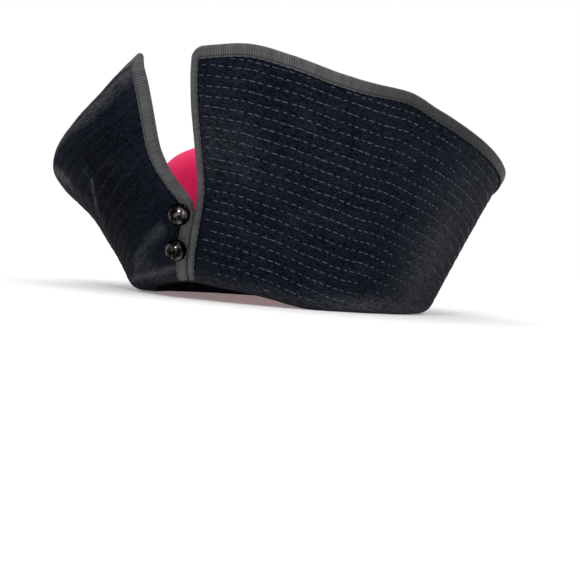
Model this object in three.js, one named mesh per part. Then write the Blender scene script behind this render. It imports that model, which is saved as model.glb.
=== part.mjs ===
// A cocktail hat: a red felt crown inside a tall flared brim of quilted black velvet.
// The brim is split at the front, bound in ribbed grey ribbon, with two glossy ball buttons.
// Millimetres, +Z up. The split faces -Y, the wearer's left is +X.
// "turn" is the angle round the hat in degrees, 0 at the split and growing towards +X.
// "climb" is the distance up the brim's outer face from the corner of its hem.
import * as THREE from "three";

// Driving sizes
const BASE_SIDE = 80; // half width of the base line
const BASE_FRONT = 100; // half length of the base line
const KNEE = 7; // how far outside the base line the wall turns up
const BEND = 8; // length of band and wall taken up by the rounded hem
const CLOTH = 3; // quilted brim
const FELT = 2.5; // crown wall
const RIBBON = 1; // edge binding
const GAP = 0.4; // between pieces that touch
const BINDING_WIDTH = 7;
const BINDING_RIGHT = 5; // it is narrower up the right panel's split edge
const MITRE = 0.8; // rounding of the ribbon's inner corners
const FOLD = 2; // how far in from the edge the ribbon's rounded fold reaches
const TRIM = GAP + RIBBON; // the cloth ends this far inside the finished edge
const ROLL_TALL = 14; // length of wall that bends where the top is rolled, below the binding
const RIGHT_CORNER = 5.5; // rounding of the finished top corners
const LEFT_CORNER = 3;
const CROWN_SIDE = 78;
const CROWN_FRONT = 98;
const CROWN_COLUMNS = 48;
const CORNER_TURN = { right: 8, left: 352 }; // where the split's top corners are
const BALL = 13;
const NECK = 4.4;
const BUTTON_IN = 3.5; // button centres from the left panel's finished edge
const BUTTON_CLIMBS = { button_upper: 44, button_lower: 22 };

// The brim round the head: hem lift, top height before it is rolled, outward reach, outward belly,
// S-shaped curl, and how many degrees the top edge is rolled over towards the crown.
const BRIM = table("turn lift rise reach belly curl roll", [
  [0, 10, 137, 46, 0, 0, 0],
  [12, 8.4, 143.4, 46, 0, 0, 0],
  [20, 7, 145.4, 46, 0, 0, 0],
  [30, 5, 141.2, 46, 0, 0, 0],
  [42, 1.6, 134, 45, 1, 0, 0],
  [50, 0, 131, 44, 1, 0, 0],
  [60, 0, 129, 43.5, 1, 0, 0],
  [70, 0, 121.6, 43, 1, 0, 0],
  [90, 0, 108.6, 42, 0, 0, 0],
  [110, 0, 97, 41, 0, 0, 0],
  [130, 0, 88, 40, -1, 0, 0],
  [155, 0, 77, 40, 0, 0, 0],
  [180, 0, 69, 41, 0, 0, 0],
  [215, 0, 62, 43, 0, 0, 0],
  [250, 0, 58, 45, 0, 1, 10],
  [280, 0, 62, 52, 0, 3, 45],
  [300, 0, 72, 57, 0, 4, 78],
  [315, 3, 86.5, 61.5, 0, 3.5, 88],
  [330, 6, 104, 60, 0, 2, 88],
  [340, 8, 119.5, 56, 0, 1, 80],
  [347, 9, 134, 51, 0, 0, 62],
  [352, 9.6, 138.6, 48, 0, 0, 32],
  [360, 10, 142, 46, 0, 0, 14],
]);

// The two finished edges of the split: sideways place at a share of the way up.
const SPLIT = table("share right left", [
  [0, 0.2, -0.2],
  [0.11, 2.2, 1.8],
  [0.2, 5.4, 5],
  [0.29, 9, 8.6],
  [0.34, 11, 8],
  [0.43, 13.4, -0.6],
  [0.52, 14, -7.8],
  [0.6, 14.2, -10.9],
  [0.72, 14.4, -12.2],
  [0.86, 15.8, -13.8],
  [1, 19, -21.5],
]);

// Soft dents and swells in the brim: place, depth inwards, and size of each.
const DENTS = table("turn climb sink wide tall", [
  [43, 122, 1.5, 18, 14],
  [57, 128, -1, 12, 12],
  [303, 55, 6, 32, 17],
  [326, 62, -1.5, 9, 22],
  [334, 24, -1.5, 10, 14],
]);

// The crown from its seat to its top.
const CROWN = table("height share", [
  [0, 1],
  [12, 1.015],
  [28, 1.02],
  [47, 1.012],
  [63, 0.985],
  [73, 0.945],
  [81, 0.865],
  [87, 0.74],
  [92, 0.57],
  [95.5, 0.35],
  [97, 0],
]);

// Where the brim's rows lie: up the hem, as shares of the wall up to the roll, and of the roll.
const HEM_CLIMBS = [-BEND - 7, -BEND - 3.5, -BEND, -4, 0, 4, BEND];
const SLIT_ROW = 4; // the split starts at this row
const WALL_SHARES = [0.09, 0.18, 0.27, 0.36, 0.45, 0.55, 0.67, 0.8, 1];
const ROLL_SHARES = [0.25, 0.5, 0.75, 1];
const END_STEPS = [0, 22.5, 45, 67.5, 90]; // round each top corner
const END_REACH = BINDING_WIDTH + MITRE - TRIM; // the last of the columns that keep to a split edge
const MIDDLE_COLUMNS = 62;
const CLOSER_LEFT = 1.45; // how strongly the columns gather towards the left panel's rolled top

const VELVET = new THREE.MeshStandardMaterial({ color: 0x20242d, roughness: 0.9, metalness: 0 });
const FELT_RED = new THREE.MeshStandardMaterial({ color: 0xc92b57, roughness: 0.85, metalness: 0 });
const GROSGRAIN = new THREE.MeshStandardMaterial({ color: 0x54565a, roughness: 0.7, metalness: 0 });
const GLOSS_BLACK = new THREE.MeshStandardMaterial({ color: 0x0b0b0d, roughness: 0.12, metalness: 0 });

/** Named columns from rows of numbers. */
function table(names, rows) {
  return Object.fromEntries(names.split(" ").map((name, i) => [name, rows.map((row) => row[i])]));
}

/** A smooth curve through (xs, ys) that doesn't overshoot its points. */
function curve(xs, ys) {
  const last = xs.length - 1;
  const steep = (i) => (ys[i + 1] - ys[i]) / (xs[i + 1] - xs[i]);
  const slopes = xs.map((_, i) => {
    const before = steep(Math.max(i - 1, 0));
    const after = steep(Math.min(i, last - 1));
    if (i === 0 || i === last) return i ? before : after;
    return before * after > 0 ? (2 * before * after) / (before + after) : 0;
  });
  return (x) => {
    let i = xs.findIndex((v) => v > x) - 1;
    if (i < 0) i = x < xs[0] ? 0 : last - 1;
    const wide = xs[i + 1] - xs[i];
    const t = THREE.MathUtils.clamp((x - xs[i]) / wide, 0, 1);
    const u = 1 - t;
    const near = u * u * (1 + 2 * t) * ys[i] + t * t * (3 - 2 * t) * ys[i + 1];
    return near + t * u * (u * slopes[i] - t * slopes[i + 1]) * wide;
  };
}

const brim = Object.fromEntries(
  ["lift", "rise", "reach", "belly", "curl", "roll"].map((name) => [name, curve(BRIM.turn, BRIM[name])]),
);
const splitX = { right: curve(SPLIT.share, SPLIT.right), left: curve(SPLIT.share, SPLIT.left) };

/** Length of the brim's face from hem corner to finished top edge. */
function wallLength(turn) {
  return Math.hypot(brim.rise(turn) - brim.lift(turn), brim.reach(turn));
}

/** How far the rolled top departs from the straight wall, outwards and upwards. */
function rollOver(turn, climb) {
  const past = climb - (wallLength(turn) - BINDING_WIDTH - ROLL_TALL);
  if (past <= 0) return [0, 0];
  const bend = THREE.MathUtils.degToRad(Math.max(brim.roll(turn), 0.01));
  const lean = Math.atan2(brim.reach(turn), brim.rise(turn) - brim.lift(turn));
  const bent = Math.min(past, ROLL_TALL);
  const flat = past - bent;
  const angle = lean - (bend * bent) / ROLL_TALL;
  const radius = ROLL_TALL / bend;
  return [
    radius * (Math.cos(angle) - Math.cos(lean)) + flat * Math.sin(angle) - past * Math.sin(lean),
    radius * (Math.sin(lean) - Math.sin(angle)) + flat * Math.cos(angle) - past * Math.cos(lean),
  ];
}

/** A point on the brim's outer face. */
function skin(turn, climb) {
  const lift = brim.lift(turn);
  const wall = (up) => {
    const v = up / wallLength(turn);
    const bow = brim.belly(turn) * 4 * v * (1 - v) - brim.curl(turn) * Math.sin(2 * Math.PI * v);
    const [rolledOut, rolledUp] = rollOver(turn, up);
    return [KNEE + brim.reach(turn) * v + bow + rolledOut, lift + (brim.rise(turn) - lift) * v + rolledUp];
  };
  let [out, z] = [KNEE + climb, lift];
  if (climb >= BEND) [out, z] = wall(climb);
  else if (climb > -BEND) {
    const t = (climb + BEND) / (2 * BEND);
    const [endOut, endZ] = wall(BEND);
    out = (1 - t * t) * KNEE - (1 - t) * (1 - t) * BEND + t * t * endOut;
    z = lift + t * t * (endZ - lift);
  }
  DENTS.turn.forEach((at, i) => {
    const across = (THREE.MathUtils.degToRad(turn - at) * (BASE_SIDE + out)) / DENTS.wide[i];
    const along = (climb - DENTS.climb[i]) / DENTS.tall[i];
    out -= DENTS.sink[i] * Math.exp(-across * across - along * along);
  });
  const angle = THREE.MathUtils.degToRad(turn);
  const base = [BASE_SIDE * Math.sin(angle), -BASE_FRONT * Math.cos(angle)];
  const away = new THREE.Vector2(base[0] / BASE_SIDE ** 2, base[1] / BASE_FRONT ** 2).normalize();
  return new THREE.Vector3(base[0] + away.x * out, base[1] + away.y * out, z);
}

/** A unit vector out of the surface that point(a, b) draws, a running left to right and b up. */
function outward(point, a, b, da, db) {
  const across = point(a + da, b).sub(point(a - da, b));
  const up = point(a, b + db).sub(point(a, b - db));
  return across.cross(up).normalize();
}

/** A point at a depth behind the brim's outer face. */
function inBrim(turn, climb, depth) {
  return skin(turn, climb).addScaledVector(outward(skin, turn, climb, 0.05, 0.05), -depth);
}

/** Turn of the place that lies "inside" mm within a panel from its finished split edge. */
function turnFromSplit(side, inside, climb) {
  const end = side === "right" ? 0 : 360;
  const share = THREE.MathUtils.clamp(climb / wallLength(CORNER_TURN[side]), 0, 1);
  const round = BASE_SIDE + (BASE_FRONT / BASE_SIDE) * (KNEE + brim.reach(end) * share);
  const x = splitX[side](share) + (side === "right" ? inside : -inside);
  return end + THREE.MathUtils.radToDeg(x / round);
}

/** Length of the wall on a line round the hat that moves sideways as it climbs. */
function lineLength(turnAt) {
  let length = wallLength(turnAt(1e3));
  for (let i = 0; i < 6; i++) length = wallLength(turnAt(length));
  return length;
}

/** How far a rounded corner keeps the edge below its straight line. */
function cornerDrop(inside, radius) {
  const left = Math.max(radius - inside, 0);
  return radius - Math.sqrt(radius * radius - left * left);
}

/** The brim's columns: a function of climb that gives the turn, and the finished top's drop. */
function brimColumns() {
  const ends = (side, corner) => {
    const radius = corner - TRIM;
    const insides = END_STEPS.map((step) => radius * (1 - Math.cos(THREE.MathUtils.degToRad(step))));
    return [...insides, END_REACH].map((inside) => ({
      turn: (climb) => turnFromSplit(side, TRIM + inside, climb),
      drop: TRIM + cornerDrop(inside, radius),
    }));
  };
  const right = ends("right", RIGHT_CORNER);
  const left = ends("left", LEFT_CORNER).reverse();
  const middle = Array.from({ length: MIDDLE_COLUMNS - 1 }, (_, i) => ({
    turn: (climb) => {
      const share = 1 - (1 - (i + 1) / MIDDLE_COLUMNS) ** CLOSER_LEFT;
      return THREE.MathUtils.lerp(right.at(-1).turn(climb), left[0].turn(climb), share);
    },
    drop: TRIM,
  }));
  return [...right, ...middle, ...left];
}

/** Climbs of the wall's rows, from just above the hem to the binding's inner line. */
function wallClimbs(length) {
  const roll = length - BINDING_WIDTH - ROLL_TALL;
  const below = WALL_SHARES.map((share) => BEND + share * (roll - BEND));
  return [...below, ...ROLL_SHARES.map((share) => roll + share * ROLL_TALL)];
}

/** Climbs of a column's points, ending at its top. */
function columnClimbs(column) {
  const length = lineLength(column.turn);
  return [...HEM_CLIMBS, ...wallClimbs(length), length - column.drop];
}

/** A mesh from points and faces of three or four point numbers, anticlockwise from outside. */
function solid(name, points, faces, material) {
  const index = faces.flatMap(([a, b, c, d]) => (d === undefined ? [a, b, c] : [a, b, c, a, c, d]));
  const geometry = new THREE.BufferGeometry().setFromPoints(points).setIndex(index);
  geometry.computeVertexNormals();
  const mesh = new THREE.Mesh(geometry, material);
  mesh.name = name;
  return mesh;
}

function makeBrim() {
  const columns = brimColumns();
  const points = [];
  for (const column of columns) {
    for (const climb of columnClimbs(column)) {
      const turn = column.turn(climb);
      points.push(inBrim(turn, climb, 0), inBrim(turn, climb, CLOTH));
    }
  }
  const top = HEM_CLIMBS.length + WALL_SHARES.length + ROLL_SHARES.length;
  const last = columns.length - 1;
  const face = (i, j) => 2 * (i * (top + 1) + j);
  const back = (i, j) => face(i, j) + 1;
  const faces = [];
  for (let i = 0; i <= last; i++) {
    const next = i < last ? i + 1 : 0;
    const rows = i < last ? top : SLIT_ROW;
    for (let j = 0; j < rows; j++) {
      faces.push([face(i, j), face(next, j), face(next, j + 1), face(i, j + 1)]);
      faces.push([back(i, j), back(i, j + 1), back(next, j + 1), back(next, j)]);
    }
    faces.push([face(i, 0), back(i, 0), back(next, 0), face(next, 0)]);
    faces.push([face(i, rows), face(next, rows), back(next, rows), back(i, rows)]);
  }
  for (let j = SLIT_ROW; j < top; j++) {
    faces.push([face(0, j), face(0, j + 1), back(0, j + 1), back(0, j)]);
    faces.push([face(last, j), back(last, j), back(last, j + 1), face(last, j + 1)]);
  }
  return solid("brim", points, faces, VELVET);
}

/** The ribbon's section: depth behind the brim's face, and distance in from the finished edge. */
const RIBBON_SECTION = [
  [-TRIM, BINDING_WIDTH],
  [-TRIM, 1.6],
  [-0.6, 0.5],
  [0.5, 0],
  [CLOTH - 0.5, 0],
  [CLOTH + 0.6, 0.5],
  [CLOTH + TRIM, 1.6],
  [CLOTH + TRIM, BINDING_WIDTH],
  [CLOTH + GAP, BINDING_WIDTH],
  [CLOTH + GAP, RIBBON],
  [-GAP, RIBBON],
  [-GAP, BINDING_WIDTH],
];

/** Places along the binding: each gives (turn, climb) at a distance in from the finished edge. */
function bindingStations() {
  const inner = BINDING_WIDTH + MITRE;
  const upSplit = (side, corner, width) => {
    const narrow = (width - FOLD) / (BINDING_WIDTH - FOLD);
    const across = (into) => Math.min(into, FOLD) + Math.max(into - FOLD, 0) * narrow;
    const line = (inside) => (climb) => turnFromSplit(side, inside, climb);
    const place = (inside, below) => {
      const climb = lineLength(line(inside)) - below;
      return [line(inside)(climb), climb];
    };
    const climbs = [...HEM_CLIMBS.slice(SLIT_ROW), ...wallClimbs(lineLength(line(TRIM))).slice(0, -1)];
    climbs[0] += 0.5;
    const straight = climbs.map((climb) => (into) => [line(across(into))(climb), climb]);
    const foot = (into) => place(across(into), inner);
    const round = END_STEPS.map((step, i) => (into) => {
      const angle = THREE.MathUtils.degToRad(step);
      const [c, s] = [Math.cos(angle), Math.sin(angle)];
      if (into < FOLD) return place(corner - (corner - into) * c, corner - (corner - into) * s);
      const fan = THREE.MathUtils.degToRad(15 * (i + 1));
      return place(width + MITRE * (1 - Math.cos(fan)), inner - MITRE * Math.sin(fan));
    });
    return [...straight, foot, ...round];
  };
  const over = brimColumns()
    .slice(END_STEPS.length, -END_STEPS.length)
    .map((column) => (into) => {
      const climb = lineLength(column.turn) - into;
      return [column.turn(climb), climb];
    });
  const right = upSplit("right", RIGHT_CORNER, BINDING_RIGHT);
  const left = upSplit("left", LEFT_CORNER, BINDING_WIDTH).reverse();
  return [...right, ...over, ...left];
}

function makeBinding() {
  const stations = bindingStations();
  const size = RIBBON_SECTION.length;
  const points = stations.flatMap((at) => {
    return RIBBON_SECTION.map(([depth, into]) => inBrim(...at(into), depth));
  });
  const faces = [];
  for (let i = 0; i + 1 < stations.length; i++) {
    for (let j = 0; j < size; j++) {
      const next = (j + 1) % size;
      const [a, b, c, d] = [i, i + 1, i + 1, i].map((k, n) => k * size + (n < 2 ? j : next));
      const inwards = RIBBON_SECTION[next][1] > RIBBON_SECTION[j][1];
      faces.push(inwards ? [b, c, d, a] : [a, b, c, d]); // split as the cloth under it is
    }
  }
  const outline = RIBBON_SECTION.map((row) => new THREE.Vector2(...row));
  const lastRing = size * (stations.length - 1);
  for (const [a, b, c] of THREE.ShapeUtils.triangulateShape(outline, [])) {
    faces.push([a, b, c], [c + lastRing, b + lastRing, a + lastRing]);
  }
  return solid("edge_binding", points, faces, GROSGRAIN);
}

function makeCrown() {
  const share = curve(CROWN.height, CROWN.share);
  const full = CROWN.height.at(-1);
  const dome = (turn, height) => {
    const angle = THREE.MathUtils.degToRad(turn);
    const wide = share(height);
    const seat = (CLOTH + GAP) + brim.lift(((turn % 360) + 360) % 360) * Math.max(1 - height / 60, 0);
    const [x, y] = [CROWN_SIDE * wide * Math.sin(angle), -CROWN_FRONT * wide * Math.cos(angle)];
    return new THREE.Vector3(x, y, seat + height);
  };
  const rows = CROWN.height.slice(0, -1);
  const points = [];
  for (let i = 0; i < CROWN_COLUMNS; i++) {
    const turn = (360 * i) / CROWN_COLUMNS;
    for (const [j, height] of rows.entries()) {
      const outer = dome(turn, height);
      const away = outward(dome, turn, height + (j ? 0 : 0.1), 0.1, 0.1);
      if (!j) away.setZ(0).normalize();
      points.push(outer, outer.clone().addScaledVector(away, -FELT));
    }
  }
  const pole = points.length;
  points.push(dome(0, full), dome(0, full).sub(new THREE.Vector3(0, 0, FELT)));
  const at = (i, j) => 2 * ((i % CROWN_COLUMNS) * rows.length + j);
  const top = rows.length - 1;
  const faces = [];
  for (let i = 0; i < CROWN_COLUMNS; i++) {
    for (let j = 0; j < top; j++) {
      const [a, b, c, d] = [at(i, j), at(i + 1, j), at(i + 1, j + 1), at(i, j + 1)];
      faces.push([a, b, c, d], [a + 1, d + 1, c + 1, b + 1]);
    }
    faces.push([at(i, 0), at(i, 0) + 1, at(i + 1, 0) + 1, at(i + 1, 0)]);
    faces.push([at(i, top), at(i + 1, top), pole]);
    faces.push([at(i, top) + 1, pole + 1, at(i + 1, top) + 1]);
  }
  return solid("crown", points, faces, FELT_RED);
}

function makeButton(name, climb) {
  const radius = BALL / 2;
  const neck = NECK / 2;
  const start = Math.asin(neck / radius);
  const centre = 1 + radius * Math.cos(start);
  const profile = [new THREE.Vector2(0, 0), new THREE.Vector2(neck, 0)];
  for (let i = 0; i < 12; i++) {
    const angle = start + ((Math.PI - start) * i) / 12;
    profile.push(new THREE.Vector2(radius * Math.sin(angle), centre - radius * Math.cos(angle)));
  }
  profile.push(new THREE.Vector2(0, centre + radius));
  const geometry = new THREE.LatheGeometry(profile, 24);
  const turn = turnFromSplit("left", BUTTON_IN, climb);
  const away = outward(skin, turn, climb, 0.05, 0.05);
  geometry.applyQuaternion(new THREE.Quaternion().setFromUnitVectors(new THREE.Vector3(0, 1, 0), away));
  geometry.translate(...inBrim(turn, climb, -TRIM - GAP).toArray());
  const mesh = new THREE.Mesh(geometry, GLOSS_BLACK);
  mesh.name = name;
  return mesh;
}

const hat = new THREE.Group();
hat.name = "cocktail_hat";
hat.add(makeCrown(), makeBrim(), makeBinding());
for (const [name, climb] of Object.entries(BUTTON_CLIMBS)) hat.add(makeButton(name, climb));

// The origin lies under the middle of the hat.
const box = new THREE.Box3().setFromObject(hat);
const middle = box.getCenter(new THREE.Vector3());
for (const mesh of hat.children) mesh.geometry.translate(-middle.x, -middle.y, -box.min.z);

export default hat;
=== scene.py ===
"""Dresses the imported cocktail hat: a red felt crown in a tall, split brim of quilted black velvet.

The brim, its ribbon and its buttons follow the same tables of sizes as the part's own source.
"turn" is the angle round the hat in degrees, 0 at the split and growing towards the wearer's left.
"climb" is the distance up the brim's outer face from the corner of its hem.
"below" is the distance down the brim's face from its finished top edge.
The tables and the shape's own sums are in millimetres; all that Blender sees is in metres.
"""

import logging
import math
from dataclasses import dataclass
from enum import Enum
from typing import Callable, NamedTuple

import bpy
import numpy as np
from mathutils import Matrix, Vector


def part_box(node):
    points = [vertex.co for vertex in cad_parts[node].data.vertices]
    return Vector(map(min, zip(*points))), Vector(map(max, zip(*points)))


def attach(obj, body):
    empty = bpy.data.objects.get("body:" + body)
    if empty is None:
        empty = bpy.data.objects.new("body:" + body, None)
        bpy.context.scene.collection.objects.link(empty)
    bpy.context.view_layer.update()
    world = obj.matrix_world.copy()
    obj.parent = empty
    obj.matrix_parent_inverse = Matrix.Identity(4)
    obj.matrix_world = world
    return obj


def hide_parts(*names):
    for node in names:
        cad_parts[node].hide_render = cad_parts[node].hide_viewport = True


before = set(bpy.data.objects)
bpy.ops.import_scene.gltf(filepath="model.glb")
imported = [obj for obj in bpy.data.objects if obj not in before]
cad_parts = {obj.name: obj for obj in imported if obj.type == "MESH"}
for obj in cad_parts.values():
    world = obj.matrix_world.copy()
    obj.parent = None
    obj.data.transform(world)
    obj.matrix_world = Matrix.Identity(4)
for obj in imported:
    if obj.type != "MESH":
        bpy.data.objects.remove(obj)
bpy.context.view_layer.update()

LOG = logging.getLogger("cocktail_hat")
MM = 0.001
SEED = 7
ROW_PITCH = 6.24
FIRST_ROW = 14.6


class Face(Enum):
    """The two faces of the brim's cloth."""

    OUTER = "outer"
    INNER = "inner"


class Side(Enum):
    """The two panels beside the split, as the photograph shows them."""

    RIGHT = "right"
    LEFT = "left"


class Station(NamedTuple):
    """The brim's section at one turn.

    It holds the hem's lift, the top's height before it is rolled over, the outward reach, the
    belly, the S-shaped curl, and how many degrees the top edge is rolled over towards the crown.
    """

    turn: float
    lift: float
    rise: float
    reach: float
    belly: float
    curl: float
    roll: float


class SplitRow(NamedTuple):
    """Sideways places of the split's two finished edges at a share of the way up."""

    share: float
    right: float
    left: float


class Dent(NamedTuple):
    """A soft dent (or a swell, where sink is negative) in the brim."""

    turn: float
    climb: float
    sink: float
    wide: float
    tall: float


class RowDrift(NamedTuple):
    """How much nearer the top edge the sewn rows run at one turn, at three depths below it."""

    turn: float
    high: float
    middle: float
    low: float


class PaintedLightPatch(NamedTuple):
    """A patch of painted highlight on the velvet, painted shade where negative."""

    turn: float
    climb: float
    wide: float
    tall: float
    pale: float


class RibbonPaintedShade(NamedTuple):
    """How much painted shade darkens the ribbon at one turn, from 0 to 1."""

    turn: float
    painted_dim: float


class PaintedFoldHighlight(NamedTuple):
    """A line of painted highlight along a fold, through places given as turn and climb."""

    places: tuple[tuple[float, float], ...]
    wide: float
    pale: float


class DomeRow(NamedTuple):
    """The crown's share of its full width at a height above its seat."""

    height: float
    share: float


BRIM_STATIONS = (
    Station(0, 10, 137, 46, 0, 0, 0),
    Station(12, 8.4, 143.4, 46, 0, 0, 0),
    Station(20, 7, 145.4, 46, 0, 0, 0),
    Station(30, 5, 141.2, 46, 0, 0, 0),
    Station(42, 1.6, 134, 45, 1, 0, 0),
    Station(50, 0, 131, 44, 1, 0, 0),
    Station(60, 0, 129, 43.5, 1, 0, 0),
    Station(70, 0, 121.6, 43, 1, 0, 0),
    Station(90, 0, 108.6, 42, 0, 0, 0),
    Station(110, 0, 97, 41, 0, 0, 0),
    Station(130, 0, 88, 40, -1, 0, 0),
    Station(155, 0, 77, 40, 0, 0, 0),
    Station(180, 0, 69, 41, 0, 0, 0),
    Station(215, 0, 62, 43, 0, 0, 0),
    Station(250, 0, 58, 45, 0, 1, 10),
    Station(280, 0, 62, 52, 0, 3, 45),
    Station(300, 0, 72, 57, 0, 4, 78),
    Station(315, 3, 86.5, 61.5, 0, 3.5, 88),
    Station(330, 6, 104, 60, 0, 2, 88),
    Station(340, 8, 119.5, 56, 0, 1, 80),
    Station(347, 9, 134, 51, 0, 0, 62),
    Station(352, 9.6, 138.6, 48, 0, 0, 32),
    Station(360, 10, 142, 46, 0, 0, 14),
)
SPLIT_ROWS = (
    SplitRow(0, 0.2, -0.2),
    SplitRow(0.11, 2.2, 1.8),
    SplitRow(0.2, 5.4, 5),
    SplitRow(0.29, 9, 8.6),
    SplitRow(0.34, 11, 8),
    SplitRow(0.43, 13.4, -0.6),
    SplitRow(0.52, 14, -7.8),
    SplitRow(0.6, 14.2, -10.9),
    SplitRow(0.72, 14.4, -12.2),
    SplitRow(0.86, 15.8, -13.8),
    SplitRow(1, 19, -21.5),
)
DENTS = (
    Dent(43, 122, 1.5, 18, 14),
    Dent(57, 128, -1, 12, 12),
    Dent(303, 55, 6, 32, 17),
    Dent(326, 62, -1.5, 9, 22),
    Dent(334, 24, -1.5, 10, 14),
)
ROW_DRIFTS = (
    RowDrift(0, 6, 12.5, 14),
    RowDrift(7, 5, 8.5, 9.2),
    RowDrift(10, 4.1, 6.6, 6.9),
    RowDrift(14, 2.5, 4.2, 4.3),
    RowDrift(19, 0.7, 1.5, 1.6),
    RowDrift(24, 0, 0, 0),
    RowDrift(38, 1, 0.8, 0),
    RowDrift(46, 0.8, 0.6, -0.6),
    RowDrift(58, -1.6, -2.4, -3),
    RowDrift(70, 0, -0.5, -0.6),
    RowDrift(80, 0.8, 1.2, 1.6),
    RowDrift(92, 0.5, 2.5, 3),
    RowDrift(130, 0, 0, 0),
    RowDrift(345, 0, 0, 0),
    RowDrift(360, 2, 2, 2),
)
# Painted highlight and painted shade on the velvet: darker over the left panel, lighter at the far
# right, the hems and the upper right panel.
PAINTED_LIGHT_PATCHES = (
    PaintedLightPatch(9, 86, 18, 22, 0.16),
    PaintedLightPatch(20, 86, 12, 18, 0.1),
    PaintedLightPatch(66, 4, 34, 6, 0.45),
    PaintedLightPatch(90, 26, 26, 46, 0.27),
    PaintedLightPatch(98, 74, 36, 60, 0.1),
    PaintedLightPatch(336, 74, 27, 30, -0.65),
    PaintedLightPatch(322, 36, 38, 28, -0.85),
    PaintedLightPatch(338, 11, 16, 9, 0.35),
)
# Painted highlights along the left panel's fold, its rolled top edge and its hem roll.
PAINTED_FOLD_HIGHLIGHTS = (
    PaintedFoldHighlight(((330.5, 75), (331.5, 69), (328.5, 58), (324.5, 49), (319, 41), (308.5, 28)), 1.8, 1.3),
    PaintedFoldHighlight(
        (
            (351, 130), (344, 120), (341, 112), (337, 105),
            (326, 99), (314, 94), (311, 86), (318, 74),
        ),
        7,
        0.7,
    ),
    PaintedFoldHighlight(((318, 74), (318, 62), (313, 50), (304, 38)), 7, 0.35),
    PaintedFoldHighlight(((328, 5), (337, 17), (345.5, 26), (351.5, 32)), 4.2, 0.42),
    PaintedFoldHighlight(((318, 3), (327, 3), (340, 3), (348, 5), (355, 8)), 2.4, 0.62),
)
# Painted shade on the ribbon, darkest round the far right end.
RIBBON_PAINTED_SHADE = (
    RibbonPaintedShade(0, 0.1),
    RibbonPaintedShade(20, 0),
    RibbonPaintedShade(40, 0),
    RibbonPaintedShade(54, 0.42),
    RibbonPaintedShade(67, 0.6),
    RibbonPaintedShade(89, 0.85),
    RibbonPaintedShade(105, 0.75),
    RibbonPaintedShade(150, 0.15),
    RibbonPaintedShade(360, 0),
)
CROWN_ROWS = (
    DomeRow(0, 1),
    DomeRow(12, 1.015),
    DomeRow(28, 1.02),
    DomeRow(47, 1.012),
    DomeRow(63, 0.985),
    DomeRow(73, 0.945),
    DomeRow(81, 0.865),
    DomeRow(87, 0.74),
    DomeRow(92, 0.57),
    DomeRow(95.5, 0.35),
    DomeRow(97, 0),
)


Surface = Callable[[np.ndarray, np.ndarray], np.ndarray]
Line = Callable[[np.ndarray], tuple[np.ndarray, np.ndarray]]


class SmoothCurve:
    """A smooth curve through points that doesn't overshoot them."""

    def __init__(self, xs: list[float], ys: list[float]) -> None:
        """Fits the curve.

        Args:
            xs: growing places of the points.
            ys: the curve's value at each.
        """
        self.xs = np.array(xs, float)
        self.ys = np.array(ys, float)
        steep = np.diff(self.ys) / np.diff(self.xs)
        before, after = steep[:-1], steep[1:]
        same_way = before * after > 0
        total = np.where(same_way, before + after, 1)
        inner = np.where(same_way, 2 * before * after / total, 0)
        self.slopes = np.concatenate([steep[:1], inner, steep[-1:]])

    def __call__(self, x: np.ndarray) -> np.ndarray:
        """Reads the curve.

        Args:
            x: places to read.

        Returns:
            The curve's values there, held level past both ends.
        """
        i = np.clip(np.searchsorted(self.xs, x, side="right") - 1, 0, len(self.xs) - 2)
        wide = self.xs[i + 1] - self.xs[i]
        t = np.clip((x - self.xs[i]) / wide, 0, 1)
        u = 1 - t
        ends = u * u * (1 + 2 * t) * self.ys[i] + t * t * (3 - 2 * t) * self.ys[i + 1]
        return ends + t * u * (u * self.slopes[i] - t * self.slopes[i + 1]) * wide


def column(rows: tuple[NamedTuple, ...], name: str) -> list[float]:
    """Returns one named column of a table."""
    return [getattr(row, name) for row in rows]


def curve(rows: tuple[NamedTuple, ...], along: str, name: str) -> SmoothCurve:
    """Returns the smooth curve of one column of a table over another."""
    return SmoothCurve(column(rows, along), column(rows, name))


def run_along(points: np.ndarray) -> np.ndarray:
    """Returns the distance from the first point to each along the line through them."""
    return np.concatenate([[0], np.cumsum(np.linalg.norm(np.diff(points, axis=0), axis=1))])


def outward(point: Surface, a: np.ndarray, b: np.ndarray, step: float = 0.05) -> np.ndarray:
    """Unit vectors out of a surface.

    Args:
        point: the surface, a running to the right and b upwards as seen from outside.
        a, b: where on the surface.
        step: half the distance between the points compared.

    Returns:
        One vector for each place.
    """
    across = point(a + step, b) - point(a - step, b)
    up = point(a, b + step) - point(a, b - step)
    away = np.cross(across, up)
    return away / np.linalg.norm(away, axis=-1, keepdims=True)


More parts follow.
